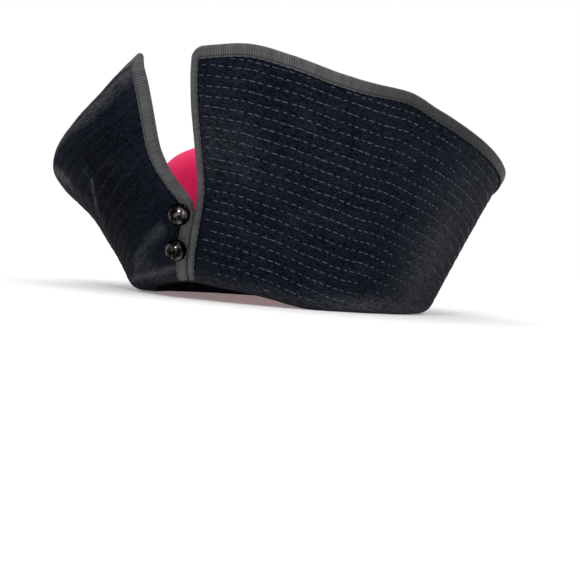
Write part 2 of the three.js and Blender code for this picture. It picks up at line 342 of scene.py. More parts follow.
@dataclass(frozen=True)
class BrimShape:
    """The brim's surface as sums from a few sizes and the tables above, in millimetres."""

    base_side: float = 80
    base_front: float = 100
    knee: float = 7
    bend: float = 8
    cloth: float = 3
    ribbon: float = 1
    gap: float = 0.4
    binding_width: float = 7
    binding_right: float = 5
    roll_tall: float = 14
    right_corner: float = 5.5
    left_corner: float = 3
    corner_turn_right: float = 8
    corner_turn_left: float = 352
    girth: float = 130

    @property
    def trim(self) -> float:
        """How far inside the finished edge the cloth ends."""
        return self.gap + self.ribbon

    def section(self, name: str, turn: np.ndarray) -> np.ndarray:
        """Returns one of the brim table's columns at each turn."""
        return curve(BRIM_STATIONS, "turn", name)(turn)

    def wall_length(self, turn: np.ndarray) -> np.ndarray:
        """Returns the length of the brim's face from the hem's corner to the finished top edge."""
        tall = self.section("rise", turn) - self.section("lift", turn)
        return np.hypot(tall, self.section("reach", turn))

    def roll_over(self, turn: np.ndarray, climb: np.ndarray) -> tuple[np.ndarray, np.ndarray]:
        """Roll of the top edge towards the crown.

        Args:
            turn: degrees round the hat.
            climb: distance up the brim's face.

        Returns:
            How far the rolled top departs from the straight wall, outwards and upwards.
        """
        bend = np.radians(np.maximum(self.section("roll", turn), 0.01))
        tall = self.section("rise", turn) - self.section("lift", turn)
        lean = np.arctan2(self.section("reach", turn), tall)
        past = np.maximum(climb - (self.wall_length(turn) - self.binding_width - self.roll_tall), 0)
        bent = np.minimum(past, self.roll_tall)
        flat = past - bent
        angle = lean - bend * bent / self.roll_tall
        radius = self.roll_tall / bend
        outwards = radius * (np.cos(angle) - np.cos(lean)) + flat * np.sin(angle) - past * np.sin(lean)
        upwards = radius * (np.sin(lean) - np.sin(angle)) + flat * np.cos(angle) - past * np.cos(lean)
        return outwards, upwards

    def skin(self, turn: np.ndarray, climb: np.ndarray) -> np.ndarray:
        """The brim's outer face, from the turned-in band round the hem's bend and up the wall.

        Args:
            turn: degrees round the hat.
            climb: distance up the brim's face.

        Returns:
            Points in the hat's own millimetres.
        """
        turn, climb = np.broadcast_arrays(np.asarray(turn, float), np.asarray(climb, float))
        lift = self.section("lift", turn)
        length = self.wall_length(turn)

        def wall(up: np.ndarray) -> tuple[np.ndarray, np.ndarray]:
            """The wall alone.

            Args:
                up: distance up the brim's face.

            Returns:
                How far out and how high it is.
            """
            v = up / length
            bow = self.section("belly", turn) * 4 * v * (1 - v)
            bow = bow - self.section("curl", turn) * np.sin(2 * np.pi * v)
            rolled_out, rolled_up = self.roll_over(turn, up)
            out = self.knee + self.section("reach", turn) * v + bow + rolled_out
            return out, lift + (self.section("rise", turn) - lift) * v + rolled_up

        wall_out, wall_z = wall(climb)
        end_out, end_z = wall(np.full_like(climb, self.bend))
        t = np.clip((climb + self.bend) / (2 * self.bend), 0, 1)
        bend_out = (1 - t * t) * self.knee - (1 - t) ** 2 * self.bend + t * t * end_out
        bend_z = lift + t * t * (end_z - lift)
        on_wall, on_bend = climb >= self.bend, climb > -self.bend
        out = np.where(on_wall, wall_out, np.where(on_bend, bend_out, self.knee + climb))
        z = np.where(on_wall, wall_z, np.where(on_bend, bend_z, lift))
        for dent in DENTS:
            across = np.radians(turn - dent.turn) * (self.base_side + out) / dent.wide
            along = (climb - dent.climb) / dent.tall
            out = out - dent.sink * np.exp(-across * across - along * along)
        angle = np.radians(turn)
        base = np.stack([self.base_side * np.sin(angle), -self.base_front * np.cos(angle)], -1)
        away = base / np.array([self.base_side**2, self.base_front**2])
        away = away / np.linalg.norm(away, axis=-1, keepdims=True)
        return np.concatenate([base + away * out[..., None], z[..., None]], -1)

    def inside(self, turn: np.ndarray, climb: np.ndarray, depth: np.ndarray) -> np.ndarray:
        """Returns points at a depth behind the brim's outer face."""
        depth = np.broadcast_to(depth, np.broadcast(turn, climb).shape)
        return self.skin(turn, climb) - outward(self.skin, turn, climb) * depth[..., None]

    def turn_from_split(self, side: Side, inside: np.ndarray, climb: np.ndarray) -> np.ndarray:
        """Turn of a place within a panel.

        Args:
            side: which panel.
            inside: distance in from the panel's finished split edge.
            climb: distance up the brim's face.

        Returns:
            The turn in degrees.
        """
        right = side is Side.RIGHT
        end = 0.0 if right else 360.0
        corner = self.corner_turn_right if right else self.corner_turn_left
        share = np.clip(climb / self.wall_length(np.array(corner)), 0, 1)
        reach = self.section("reach", np.array(end))
        around = self.base_side + self.base_front / self.base_side * (self.knee + reach * share)
        edge = curve(SPLIT_ROWS, "share", side.value)(share)
        return end + np.degrees((edge + (inside if right else -inside)) / around)

    def line_length(self, turn_at: Callable[[np.ndarray], np.ndarray], start: np.ndarray) -> np.ndarray:
        """The wall's length on lines that move sideways as they climb.

        Args:
            turn_at: gives a line's turn at each climb.
            start: one number for each line.

        Returns:
            The wall's length on each line.
        """
        beyond_the_top, rounds = 1e3, 6
        length = self.wall_length(turn_at(np.full_like(start, beyond_the_top)))
        for _ in range(rounds):
            length = self.wall_length(turn_at(length))
        return length


@dataclass(frozen=True)
class HatFrame:
    """Where the hat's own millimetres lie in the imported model's frame."""

    middle: tuple[float, float]

    @classmethod
    def from_crown(cls) -> "HatFrame":
        """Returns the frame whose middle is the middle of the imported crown."""
        low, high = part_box("crown")
        return cls(((low.x + high.x) / 2, (low.y + high.y) / 2))

    def place(self, points: np.ndarray) -> np.ndarray:
        """Returns points of the hat in metres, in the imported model's frame."""
        return points * MM + np.array([*self.middle, 0.0])


SHAPE = BrimShape()
HAT = HatFrame.from_crown()


# Hand work: starting a primitive, shaping it and finishing it with modifiers


def pick_nothing() -> None:
    """Leaves object mode with nothing selected."""
    if bpy.context.object and bpy.context.object.mode != "OBJECT":
        bpy.ops.object.mode_set(mode="OBJECT")
    bpy.ops.object.select_all(action="DESELECT")


def pick(piece: bpy.types.Object) -> None:
    """Makes one piece the only selected and active one.

    Args:
        piece: the piece.
    """
    pick_nothing()
    piece.select_set(True)
    bpy.context.view_layer.objects.active = piece


def edit(piece: bpy.types.Object, work: Callable[[], None]) -> None:
    """Does some work in edit mode with the whole mesh selected.

    Args:
        piece: the piece.
        work: what is done there.
    """
    pick(piece)
    bpy.ops.object.mode_set(mode="EDIT")
    bpy.ops.mesh.select_all(action="SELECT")
    work()
    bpy.ops.object.mode_set(mode="OBJECT")


def finish_with(piece: bpy.types.Object, kind: str, **settings: object) -> None:
    """Adds one modifier and applies it.

    Args:
        piece: the piece.
        kind: the modifier's type.
        settings: its properties by name.
    """
    pick(piece)
    modifier = piece.modifiers.new(kind.title(), kind)
    for name, value in settings.items():
        setattr(modifier, name, value)
    bpy.ops.object.modifier_apply(modifier=modifier.name)


def corners(piece: bpy.types.Object) -> np.ndarray:
    """Reads a mesh's vertices.

    Args:
        piece: the piece.

    Returns:
        Their places, one row for each.
    """
    flat = np.empty(len(piece.data.vertices) * 3)
    piece.data.vertices.foreach_get("co", flat)
    return flat.reshape(-1, 3)


def move_corners(piece: bpy.types.Object, places: np.ndarray) -> None:
    """Puts a mesh's vertices at new places."""
    piece.data.vertices.foreach_set("co", places.astype(np.float32).ravel())
    piece.data.update()


def write_uv(piece: bpy.types.Object, name: str, per_vertex: np.ndarray) -> None:
    """Writes a UV map that gives each vertex one place.

    Args:
        piece: the piece.
        name: the map's name.
        per_vertex: one pair of numbers for each vertex.
    """
    mesh = piece.data
    layer = mesh.uv_layers.get(name) or mesh.uv_layers.new(name=name)
    at = np.empty(len(mesh.loops), np.int32)
    mesh.loops.foreach_get("vertex_index", at)
    layer.data.foreach_set("uv", per_vertex[at].astype(np.float32).ravel())


def cloth_sheet(name: str, across: int, up: int) -> tuple[bpy.types.Object, np.ndarray, np.ndarray]:
    """Starts a piece of cloth as a flat grid.

    Args:
        name: the piece's name.
        across, up: how many faces it has each way.

    Returns:
        The piece, and the share across and up of each vertex.
    """
    pick_nothing()
    bpy.ops.mesh.primitive_grid_add(
        x_subdivisions=across, y_subdivisions=up, size=1, location=(0.5, 0.5, 0)
    )
    piece = bpy.context.object
    piece.name = piece.data.name = name
    bpy.ops.object.transform_apply(location=True, rotation=True, scale=True)
    while piece.data.uv_layers:
        piece.data.uv_layers.remove(piece.data.uv_layers[0])
    flat = corners(piece)
    return piece, np.clip(flat[:, 0], 0, 1), np.clip(flat[:, 1], 0, 1)


def face_outwards(piece: bpy.types.Object) -> None:
    """Turns every face of a closed piece outwards."""
    edit(piece, lambda: bpy.ops.mesh.normals_make_consistent(inside=False))


def merge(piece: bpy.types.Object) -> None:
    """Merges vertices that lie in one place."""
    edit(piece, lambda: bpy.ops.mesh.remove_doubles(threshold=0.02 * MM))


def thicken(piece: bpy.types.Object, thickness: float, even: bool = True) -> None:
    """Gives a sheet its thickness in millimetres, behind its face."""
    finish_with(piece, "SOLIDIFY", thickness=thickness * MM, offset=-1, use_even_offset=even)


def smooth(piece: bpy.types.Object, degrees: float = 50) -> None:
    """Shades a piece smooth except at sharp angles."""
    pick(piece)
    bpy.ops.object.shade_smooth_by_angle(angle=math.radians(degrees))


def give(piece: bpy.types.Object, material: bpy.types.Material, slot: str, *nodes: str) -> None:
    """Dresses a piece, ties it to the frame and hides the solids that it stands for.

    Args:
        piece: the piece.
        material: its finish.
        slot: not used.
        nodes: the solids that it replaces.
    """
    piece.data.materials.clear()
    piece.data.materials.append(material)
    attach(piece, "root")
    if nodes:
        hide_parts(*nodes)
    triangles = sum(len(p.vertices) - 2 for p in piece.data.polygons)
    LOG.info("%s: %d triangles", piece.name, triangles)


def soft_noise(name: str, size: float) -> bpy.types.Texture:
    """A cloud texture for gentle unevenness.

    Args:
        name: the texture's name.
        size: the size of its clouds in metres.

    Returns:
        The texture.
    """
    clouds = bpy.data.textures.new(name, "CLOUDS")
    clouds.noise_scale = size
    clouds.noise_depth = 2
    return clouds


def ruffle(piece: bpy.types.Object, clouds: bpy.types.Texture, tall: float) -> None:
    """Makes a piece uneven by a cloud texture, so many millimetres from lowest to highest."""
    where = {"texture": clouds, "texture_coords": "LOCAL"}
    finish_with(piece, "DISPLACE", strength=tall * MM, mid_level=0.5, **where)


# Finishes


class Nodes:
    """Builds a material's node tree with short calls."""

    def __init__(self, name: str) -> None:
        """Starts a material with one Principled surface.

        Args:
            name: the material's name.
        """
        self.material = bpy.data.materials.new(name)
        self.material.use_nodes = True
        self.tree = self.material.node_tree
        self.surface = self.tree.nodes["Principled BSDF"]

    def add(self, kind: str, **settings: object) -> bpy.types.Node:
        """Adds a node.

        Args:
            kind: the node's type.
            settings: properties or unlinked inputs by name, with _ for each space.

        Returns:
            The node.
        """
        node = self.tree.nodes.new(kind)
        for name, value in settings.items():
            if hasattr(node, name):
                setattr(node, name, value)
            else:
                node.inputs[name.replace("_", " ")].default_value = value
        return node

    def join(self, source: bpy.types.NodeSocket, target: bpy.types.NodeSocket) -> None:
        """Links two sockets."""
        self.tree.links.new(source, target)

    def set(self, **values: object) -> None:
        """Sets the surface's own sockets, named with _ for each space."""
        for name, value in values.items():
            self.surface.inputs[name.replace("_", " ")].default_value = value

    def math(self, operation: str, *inputs: object, clamp: bool = False) -> bpy.types.NodeSocket:
        """Adds a Math node.

        Args:
            operation: what it does.
            inputs: sockets or numbers.
            clamp: whether its result is kept from 0 to 1.

        Returns:
            Its output.
        """
        node = self.add("ShaderNodeMath", operation=operation, use_clamp=clamp)
        for i, value in enumerate(inputs):
            if isinstance(value, bpy.types.NodeSocket):
                self.join(value, node.inputs[i])
            else:
                node.inputs[i].default_value = value
        return node.outputs[0]

    def noise(
        self, where: bpy.types.NodeSocket, scale: float, detail: float = 2, rough: float = 0.5
    ) -> bpy.types.NodeSocket:
        """Adds a noise texture.

        Args:
            where: the place that it reads.
            scale: how many clouds to the metre.
            detail, rough: its finer layers.

        Returns:
            Its value.
        """
        node = self.add("ShaderNodeTexNoise", Scale=scale, Detail=detail, Roughness=rough)
        self.join(where, node.inputs["Vector"])
        return node.outputs["Fac"]

    def spread(self, value: bpy.types.NodeSocket, low: float, high: float) -> bpy.types.NodeSocket:
        """Stretches a value.

        Args:
            value: the value.
            low, high: what gives 0 and what gives 1.

        Returns:
            The stretched value, kept from 0 to 1.
        """
        node = self.add("ShaderNodeMapRange", clamp=True)
        self.join(value, node.inputs["Value"])
        node.inputs["From Min"].default_value = low
        node.inputs["From Max"].default_value = high
        return node.outputs["Result"]

    def stretched(
        self, where: bpy.types.NodeSocket, scale: tuple[float, float, float]
    ) -> bpy.types.NodeSocket:
        """Multiplies a place axis by axis.

        Args:
            where: the place.
            scale: one number for each axis.

        Returns:
            The new place.
        """
        node = self.add("ShaderNodeMapping")
        node.inputs["Scale"].default_value = scale
        self.join(where, node.inputs["Vector"])
        return node.outputs["Vector"]

    def mix(self, share: object, first: object, second: object) -> bpy.types.NodeSocket:
        """Blends two colours.

        Args:
            share: how much of the second.
            first, second: colours or sockets.

        Returns:
            The blend.
        """
        node = self.add("ShaderNodeMix", data_type="RGBA")
        sockets = node.inputs["Factor"], node.inputs[6], node.inputs[7]
        for socket, value in zip(sockets, (share, first, second)):
            if isinstance(value, bpy.types.NodeSocket):
                self.join(value, socket)
            else:
                socket.default_value = value
        return node.outputs[2]

    def bump(self, height: bpy.types.NodeSocket, distance: float, strength: float = 1) -> None:
        """Adds relief to the surface, over any relief that it already has.

        Args:
            height: the relief, from 0 to 1.
            distance: how tall it is in metres.
            strength: how much of it shows.
        """
        node = self.add("ShaderNodeBump", Strength=strength, Distance=distance)
        self.join(height, node.inputs["Height"])
        normal = self.surface.inputs["Normal"]
        if normal.is_linked:
            self.join(normal.links[0].from_socket, node.inputs["Normal"])
        self.join(node.outputs["Normal"], normal)

    def colour(self, socket: bpy.types.NodeSocket) -> None:
        """Links the surface's base colour."""
        self.join(socket, self.surface.inputs["Base Color"])

    def place(self, uv: str | None = None) -> bpy.types.NodeSocket:
        """Reads the surface's place.

        Args:
            uv: the name of one of the piece's own UV maps, or nothing.

        Returns:
            Object coordinates, or that map's.
        """
        if uv:
            return self.add("ShaderNodeUVMap", uv_map=uv).outputs["UV"]
        return self.add("ShaderNodeTexCoord").outputs["Object"]


Colour = tuple[float, float, float, float]


def srgb(red: int, green: int, blue: int) -> Colour:
    """Returns a colour for a shader from its screen values."""
    return tuple((c / 255) ** 2.2 for c in (red, green, blue)) + (1.0,)


@dataclass(frozen=True)
class VelvetFinish:
    """Quilted velvet: a dark pile with crushed marks, sewn creases and lint, with painted highlights
    and painted shade laid on its colour.
    """

    dark: Colour = srgb(4, 6, 9)
    light: Colour = srgb(29, 34, 44)
    # Pale colour for the crushed veins and for the painted highlights, a painted sheen.
    bloom: Colour = srgb(92, 91, 91)
    lint: Colour = srgb(84, 88, 94)
    sheen: float = 0.012
    pitch: float = ROW_PITCH * MM
    first_row: float = FIRST_ROW * MM

    def material(self) -> bpy.types.Material:
        """Builds the material.

        The map cloth gives metres along the rows and below the top edge, and a second map how much
        painted highlight, or painted shade where negative, lies on the colour.

        Returns:
            The material.
        """
        n = Nodes("brim_velvet")
        where = n.place()
        uv = n.place("cloth")
        parts = n.add("ShaderNodeSeparateXYZ")
        n.join(uv, parts.inputs[0])
        pile = n.noise(n.stretched(uv, (800, 1100, 1)), 1, 3, 0.6)
        crushed = n.noise(where, 45, 3, 0.55)
        mottle = n.noise(n.stretched(uv, (260, 420, 1)), 1, 2)
        tone = n.math("ADD", pile, n.math("MULTIPLY", crushed, 0.22))
        tone = n.spread(n.math("ADD", tone, n.math("MULTIPLY", mottle, 0.4)), 0.63, 1.0)
        # Painted light from a UV map: painted highlight where positive, painted shade where negative.
        lies = n.add("ShaderNodeSeparateXYZ")
        n.join(n.place("nap"), lies.inputs[0])
        pale = n.math("MULTIPLY", lies.outputs["X"], n.spread(mottle, 0.1, 0.6))
        painted_highlight, painted_shade = n.math("MAXIMUM", pale, 0), n.math("MINIMUM", pale, 0)
        veins = n.noise(n.stretched(uv, (70, 170, 1)), 1, 4, 0.65)
        veins = n.spread(n.math("ABSOLUTE", n.math("SUBTRACT", veins, 0.5)), 0.022, 0)
        veins = n.math("MULTIPLY", veins, n.spread(crushed, 0.48, 0.66))
        # Painted highlight lightens the tone and painted shade darkens it.
        tone = n.math("ADD", tone, n.math("MULTIPLY", painted_highlight, 0.8))
        tone = n.math("MULTIPLY", tone, n.math("ADD", painted_shade, 1))
        base = n.mix(tone, self.dark, self.light)
        base = n.mix(n.math("MULTIPLY", veins, 0.07), base, self.bloom)
        rows = n.math("DIVIDE", n.math("SUBTRACT", parts.outputs["Y"], self.first_row), self.pitch)
        past_row = n.math("FRACT", n.math("ADD", rows, 0.5))
        to_row = n.math("ABSOLUTE", n.math("SUBTRACT", past_row, 0.5))
        # Painted highlight: pale lines along the sewn rows where painted shade lies.
        row_painted_highlight = n.math("MULTIPLY", n.spread(to_row, 0.15, 0), n.math("MULTIPLY", painted_shade, -0.15))
        row_painted_highlight = n.math("MULTIPLY", row_painted_highlight, n.spread(pile, 0.4, 0.6))
        base = n.mix(row_painted_highlight, base, self.bloom)
        # Painted highlight: a pale bloom where the map's painted highlight lies.
        base = n.mix(n.math("MULTIPLY", painted_highlight, n.spread(pile, 0.3, 0.66)), base, self.bloom)
        specks = n.add("ShaderNodeTexVoronoi", Scale=230.0)
        n.join(where, specks.inputs["Vector"])
        few = n.math("GREATER_THAN", n.noise(where, 95, 1), 0.66)
        lint = n.math("MULTIPLY", n.math("LESS_THAN", specks.outputs["Distance"], 0.09), few)
        n.colour(n.mix(n.math("MULTIPLY", lint, 0.6), base, self.lint))
        n.set(Roughness=0.8, Specular_IOR_Level=0.03, Sheen_Weight=self.sheen, Sheen_Roughness=0.3)
        n.set(Sheen_Tint=srgb(225, 228, 235))
        crease = n.math("MULTIPLY", n.spread(to_row, 0, 0.16), 0.5)
        n.bump(crease, 0.5 * MM)
        n.bump(n.noise(n.stretched(uv, (420, 90, 1)), 1, 2), 0.6 * MM, 0.6)
        n.bump(pile, 0.22 * MM, 0.9)
        return n.material


@dataclass(frozen=True)
class FeltFinish:
    """Matt wool felt: short tangled fibres, a soft bloom and slightly uneven dye."""

    deep: Colour = srgb(236, 26, 84)
    clear: Colour = srgb(250, 50, 110)

    def material(self) -> bpy.types.Material:
        """Builds the material.

        Returns:
            The material.
        """
        n = Nodes("crown_felt")
        where = n.place()
        fibres = n.noise(where, 1500, 4, 0.7)
        cloud = n.noise(where, 30, 3, 0.6)
        tone = n.math("ADD", n.math("MULTIPLY", fibres, 0.5), n.math("MULTIPLY", cloud, 0.5))
        tone = n.spread(tone, 0.3, 0.7)
        n.colour(n.mix(tone, self.deep, self.clear))
        n.set(Roughness=0.9, Specular_IOR_Level=0.08, Sheen_Weight=0.12, Sheen_Roughness=0.5)
        n.set(Sheen_Tint=srgb(255, 190, 205))
        n.bump(cloud, 0.8 * MM, 0.3)
        n.bump(fibres, 0.3 * MM, 0.7)
        return n.material


@dataclass(frozen=True)
class GrosgrainFinish:
    """Ribbed ribbon: fine ribs straight across it and a close weave between them."""

    name: str = "binding_grosgrain"
    shade: Colour = srgb(20, 20, 23)
    clear: Colour = srgb(96, 95, 97)
    sewn_in: float = 1.4 * MM
    rib: float = 1.33 * MM
    weave: float = 0.5 * MM
    low_paling_starts: float = 46 * MM
    low_paling_full: float = 30 * MM

    def material(self) -> bpy.types.Material:
        """Builds the material.

        The map ribbon gives metres along and across it, and tone how much painted shade darkens it.

        Returns:
            The material.
        """
        n = Nodes(self.name)
        height = n.add("ShaderNodeSeparateXYZ")
        n.join(n.place(), height.inputs[0])
        # Paler, with flatter ribs, lower than 46 mm up and fully so below 30 mm.
        low_paling = n.spread(height.outputs["Z"], self.low_paling_starts, self.low_paling_full)
        uv = n.place("ribbon")
        parts = n.add("ShaderNodeSeparateXYZ")
        n.join(uv, parts.inputs[0])
        wave = n.math("SINE", n.math("MULTIPLY", parts.outputs["X"], 2 * math.pi / self.rib))
        rib = n.spread(wave, -1, 1)
        cross = n.math("SINE", n.math("MULTIPLY", parts.outputs["Y"], 2 * math.pi / self.weave))
        weave = n.math("MULTIPLY", n.spread(cross, -1, 1), 0.3)
        uneven = n.noise(n.stretched(uv, (300, 60, 1)), 1, 3, 0.6)
        ribbed = n.math("MULTIPLY", rib, n.math("SUBTRACT", 0.46, n.math("MULTIPLY", low_paling, 0.24)))
        tone = n.math("ADD", ribbed, n.math("MULTIPLY", low_paling, 0.3))
        tone = n.math("ADD", tone, n.math("MULTIPLY", uneven, 0.7))
        tone = n.spread(tone, 0.05, 1.1)
        # Painted shade in the groove where the ribbon is sewn down; the same line is also bumped as a
        # groove.
        seam_groove_shade = n.math("ABSOLUTE", n.math("SUBTRACT", parts.outputs["Y"], self.sewn_in))
        seam_groove_shade = n.spread(seam_groove_shade, 0.1 * MM, 0.7 * MM)
        tone = n.math("MULTIPLY", tone, n.math("ADD", n.math("MULTIPLY", seam_groove_shade, 0.65), 0.35))
        # Painted shade along the ribbon, read from the tone map.
        painted_dim = n.add("ShaderNodeSeparateXYZ")
        n.join(n.place("tone"), painted_dim.inputs[0])
        tone = n.math("MULTIPLY", tone, n.math("SUBTRACT", 1, painted_dim.outputs["X"]))
        n.colour(n.mix(tone, self.shade, self.clear))
        n.set(Roughness=0.6, Specular_IOR_Level=0.15, Sheen_Weight=0.05, Sheen_Roughness=0.4)
        n.bump(n.math("ADD", rib, weave), 0.25 * MM, 0.8)
        n.bump(uneven, 0.4 * MM, 0.4)
        n.bump(seam_groove_shade, 0.3 * MM, 0.6)
        return n.material


@dataclass(frozen=True)
class ThreadFinish:
    """Twisted sewing thread, a little paler than the velvet."""

    tint: Colour = srgb(74, 79, 88)

    def material(self) -> bpy.types.Material:
        """Builds the material.

        Returns:
            The material.
        """
        n = Nodes("stitch_thread")
        where = n.place()
        fuzz = n.noise(where, 900, 2)
        n.colour(n.mix(n.spread(fuzz, 0.3, 0.7), srgb(40, 44, 54), self.tint))
        n.set(Roughness=0.65, Specular_IOR_Level=0.15, Sheen_Weight=0.05)
        n.bump(fuzz, 0.1 * MM, 0.6)
        return n.material


@dataclass(frozen=True)
class GlossFinish:
    """Polished dark buttons with a faint pearly depth."""

    tint: Colour = srgb(22, 20, 21)
    pearl: Colour = srgb(138, 131, 131)

    def material(self) -> bpy.types.Material:
        """Builds the material.

        Returns:
            The material.
        """
        n = Nodes("button_gloss")
        where = n.place()
        swirl = n.noise(n.stretched(where, (340, 340, 190)), 1, 3, 0.6)
        n.colour(n.mix(n.spread(swirl, 0.46, 0.8), self.tint, self.pearl))
        n.set(Metallic=0.97, Roughness=0.15, IOR=1.35, Specular_Tint=srgb(150, 148, 148))
        n.bump(swirl, 0.12 * MM, 0.5)
        return n.material


@dataclass(frozen=True)
class FloorFinish:
    """A plain pale studio floor."""

    def material(self) -> bpy.types.Material:
        """Builds the material.

        Returns:
            The material.
        """
        n = Nodes("studio_floor")
        grain = n.noise(n.place(), 8, 2)
        n.colour(n.mix(grain, (0.81, 0.81, 0.81, 1), (0.83, 0.83, 0.83, 1)))
        n.set(Roughness=0.9, Specular_IOR_Level=0.05)
        n.set(Emission_Color=(1, 1, 1, 1), Emission_Strength=0.18)
        return n.material


# The hat's sub-assemblies


@dataclass(frozen=True)
class QuiltedBrim:
    """The brim: one cloth wall with a rounded hem, sewn in rows that follow its top edge."""

    across: int = 250
    up: int = 150
    pitch: float = ROW_PITCH
    first_row: float = FIRST_ROW
    top_row: float = 9.6
    turned_in: float = 7
    pull_steps: int = 20
    drift_depths: tuple[float, float, float] = (15, 65, 105)
    # Painted highlight along the hem.
    hem_painted_highlight: float = 0.25
    hem_painted_highlight_tall: float = 7
    puff: float = 0.3
    rumple: float = 0.5
    stitch_length: float = 3.9
    stitch_period: float = 4.92
    stitch_thick: float = 0.7
    sunk_left: float = 0.6
    sunk_far: float = 0.26
    sunk_turns: tuple[float, float, float, float] = (55, 80, 105, 130)
    stitch_stretch: tuple[float, float] = (0.7, 1.15)
    stitch_raise: tuple[float, float] = (-0.26, 0.08)
    spread_along: float = 0.25
    spread_across: float = 0.12
    clear_of_hem: float = 4
    clear_of_top: float = 0.8
    clear_of_right: float = 1.2
    clear_of_left: float = 1.5

    def drift(self, turn: np.ndarray, below: np.ndarray) -> np.ndarray:
        """Drift of the sewn rows.

        Args:
            turn: degrees round the hat.
            below: distance below the finished top edge.

        Returns:
            How much nearer the top edge the rows run than lines parallel to it.
        """
        names = "high", "middle", "low"
        high, middle, low = (curve(ROW_DRIFTS, "turn", name)(turn) for name in names)
        first, second, third = self.drift_depths
        upper = np.clip((below - first) / (second - first), 0, 1)
        lower = np.clip((below - second) / (third - second), 0, 1)
        return high + (middle - high) * upper + (low - middle) * lower

    def nap(self, turn: np.ndarray, climb: np.ndarray) -> np.ndarray:
        """Painted light on the velvet.

        Args:
            turn: degrees round the hat.
            climb: distance up the brim's face.

        Returns:
            How much painted highlight (above 0) or painted shade (below 0) lies at each place, from -1
            to 1.
        """
        # Painted highlight along the hem's roll, then the painted patches and the painted fold
        # highlights.
        pale = self.hem_painted_highlight * np.exp(-((climb / self.hem_painted_highlight_tall) ** 2))
        for mark in PAINTED_LIGHT_PATCHES:
            across = np.radians(turn - mark.turn) * SHAPE.girth / mark.wide
            along = (climb - mark.climb) / mark.tall
            pale = pale + mark.pale * np.exp(-across * across - along * along)
        for fold in PAINTED_FOLD_HIGHLIGHTS:
            pale = pale + fold.pale * np.exp(-((self.to_fold(fold, turn, climb) / fold.wide) ** 2))
        return np.clip(pale, -1, 1)

    def to_fold(self, fold: PaintedFoldHighlight, turn: np.ndarray, climb: np.ndarray) -> np.ndarray:
        """Distance from a fold.

        Args:
            fold: the fold.
            turn: degrees round the hat.
            climb: distance up the brim's face.

        Returns:
            The distance along the cloth from each place to the fold's line.
        """
        around = math.radians(1) * SHAPE.girth
        spot = np.stack([turn * around, climb], -1)
        nearest = np.full(turn.shape, np.inf)
        line = np.array(fold.places) * (around, 1)
        for start, end in zip(line[:-1], line[1:]):
            way = end - start
            share = np.clip((spot - start) @ way / (way @ way), 0, 1)
            away = np.linalg.norm(spot - start - share[..., None] * way, axis=-1)
            nearest = np.minimum(nearest, away)
        return nearest

    def lines(self, u: np.ndarray) -> Callable[[np.ndarray], np.ndarray]:
        """Lines up the brim.

        Args:
            u: how far round from the right of the split each line is, from 0 to 1.

        Returns:
            A function that gives each line's turn at a climb.
        """

        def turn_at(climb: np.ndarray) -> np.ndarray:
            """Turn of the lines, which meet at the split's foot.

            Args:
                climb: distance up the brim's face.

            Returns:
                The turn in degrees.
            """
            slit = np.where(climb > 0, SHAPE.trim, 0)
            right = SHAPE.turn_from_split(Side.RIGHT, slit, climb)
            left = SHAPE.turn_from_split(Side.LEFT, slit, climb)
            closed = climb <= 0
            right = np.where(closed, 0, right)
            left = np.where(closed, 360, left)
            return right + (left - right) * u

        return turn_at

    def build(self) -> bpy.types.Object:
        """Builds the brim's cloth with its quilted faces.

        Returns:
            The brim.
        """
        piece, u, v = cloth_sheet("quilted_brim", self.across, self.up)
        turn_at = self.lines(u)
        length = SHAPE.line_length(turn_at, u)
        hem_share = (0.0, 0.02, 0.1)
        lip = np.interp(v, hem_share, (-SHAPE.bend - self.turned_in, -SHAPE.bend, SHAPE.bend))
        share = (v - hem_share[-1]) / (1 - hem_share[-1])
        top = length - SHAPE.trim - self.corner_drop(u, length)
        climb = np.where(v < hem_share[-1], lip, SHAPE.bend + share * (top - SHAPE.bend))
        turn = turn_at(climb)
        below = length - climb
        move_corners(piece, HAT.place(SHAPE.skin(turn, climb)))
        around = np.radians(turn) * (SHAPE.base_side + SHAPE.base_front) / 2
        along_rows = below + self.drift(turn, below)
        write_uv(piece, "cloth", np.stack([around, along_rows], -1) * MM)
        # Painted highlights and painted shade for the velvet's colour, kept in a UV map.
        pale = self.nap(turn, climb)
        write_uv(piece, "nap", np.stack([pale, 0 * pale], -1))
        self.mark_rows(piece, below, along_rows, climb)
        merge(piece)
        thicken(piece, SHAPE.cloth)
        sewn = {"vertex_group": "sewn", "direction": "NORMAL"}
        finish_with(piece, "DISPLACE", strength=-self.puff * MM, mid_level=0, **sewn)
        ruffle(piece, soft_noise("velvet_rumple", 0.012), self.rumple)
        move_corners(piece, np.maximum(corners(piece), (-1, -1, 0)))
        face_outwards(piece)
        smooth(piece)
        return piece

    def corner_drop(self, u: np.ndarray, length: np.ndarray) -> np.ndarray:
        """Rounding of the top corners.

        Args:
            u: the share across of each line.
            length: the wall's length on it.

        Returns:
            How far each line ends below the straight top edge.
        """
        right = SHAPE.turn_from_split(Side.RIGHT, np.full_like(u, SHAPE.trim), length)
        left = SHAPE.turn_from_split(Side.LEFT, np.full_like(u, SHAPE.trim), length)
        wide = np.radians(left - right) * SHAPE.girth
        drop = np.zeros_like(u)
        for inside, corner in ((u * wide, SHAPE.right_corner), ((1 - u) * wide, SHAPE.left_corner)):
            radius = corner - SHAPE.trim
            rest = np.clip(radius - inside, 0, None)
            drop = drop + radius - np.sqrt(radius**2 - rest**2)
        return drop

